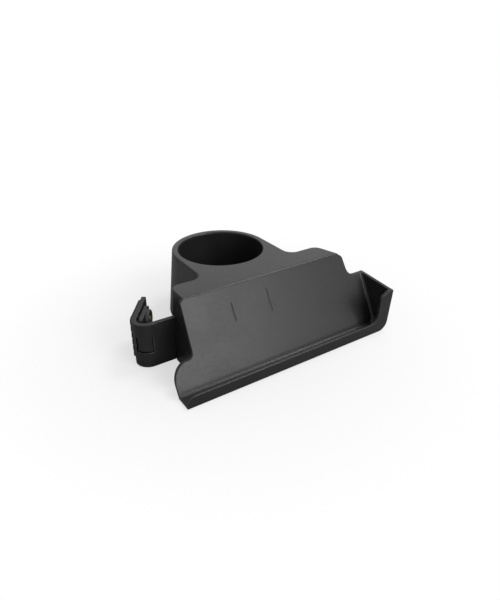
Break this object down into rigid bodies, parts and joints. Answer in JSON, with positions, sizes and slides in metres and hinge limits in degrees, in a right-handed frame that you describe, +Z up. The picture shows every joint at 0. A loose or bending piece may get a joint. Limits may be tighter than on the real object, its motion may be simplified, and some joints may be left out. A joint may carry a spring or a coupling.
{
  "type": "clamp-on cup and phone holder",
  "caption": "Moulded tray with a leaning phone rest and trough in front of a deep round cup well, carried on a hooked flat arm whose jaw clamps to an upright panel.",
  "frame": {"origin": "under the middle of the bounding box, on the plane the tray's underside lies in", "axes": "+Z up along the cup well; -Y is the front, where the trough is; +X runs along the trough away from the arm"},
  "size_m": [0.2319, 0.1842, 0.0664],
  "materials": {
    "tray_plastic": "fine moulded grain, satin black",
    "arm_metal": "fine textured black powder coat",
    "plain_steel": "zinc plated",
    "pad_rubber": "matt",
    "knob_plastic": "satin black",
    "brass": "turned"
  },
  "bodies": {
    "tray": {"tray_body": "tray_plastic", "arm_strap": "arm_metal", "arm_retainer": "plain_steel", "clamp_pad": "pad_rubber", "stud_upper": "plain_steel", "stud_lower": "plain_steel", "retainer_screw_1": "plain_steel", "retainer_screw_2": "plain_steel", "retainer_screw_3": "plain_steel", "retainer_screw_4": "plain_steel", "insert_1": "brass", "insert_2": "brass", "insert_3": "brass", "insert_4": "brass"},
    "jaw": {"jaw_plate": "arm_metal", "jaw_pad": "pad_rubber"},
    "thumb_nut_upper": {"knob_upper": "knob_plastic", "knob_bush_upper": "brass"},
    "thumb_nut_lower": {"knob_lower": "knob_plastic", "knob_bush_lower": "brass"}
  },
  "joints": [
    {"name": "jaw_slide", "type": "slide", "parent": "tray", "child": "jaw", "axis": [0.8151, -0.5793, 0], "range_m": [-0.0012, 0.0012]},
    {"name": "upper_nut_spin", "type": "hinge", "parent": "jaw", "child": "thumb_nut_upper", "pos_m": [-0.09778, -0.00633, 0.0364], "axis": [0.8151, -0.5793, 0], "range_deg": [-541, 541]},
    {"name": "lower_nut_spin", "type": "hinge", "parent": "jaw", "child": "thumb_nut_lower", "pos_m": [-0.09778, -0.00633, 0.011], "axis": [0.8151, -0.5793, 0], "range_deg": [-541, 541]}
  ],
  "couplings": [
    {"joint": "upper_nut_spin", "follows": "jaw_slide", "rad_per_m": 7854},
    {"joint": "lower_nut_spin", "follows": "jaw_slide", "rad_per_m": 7854}
  ]
}
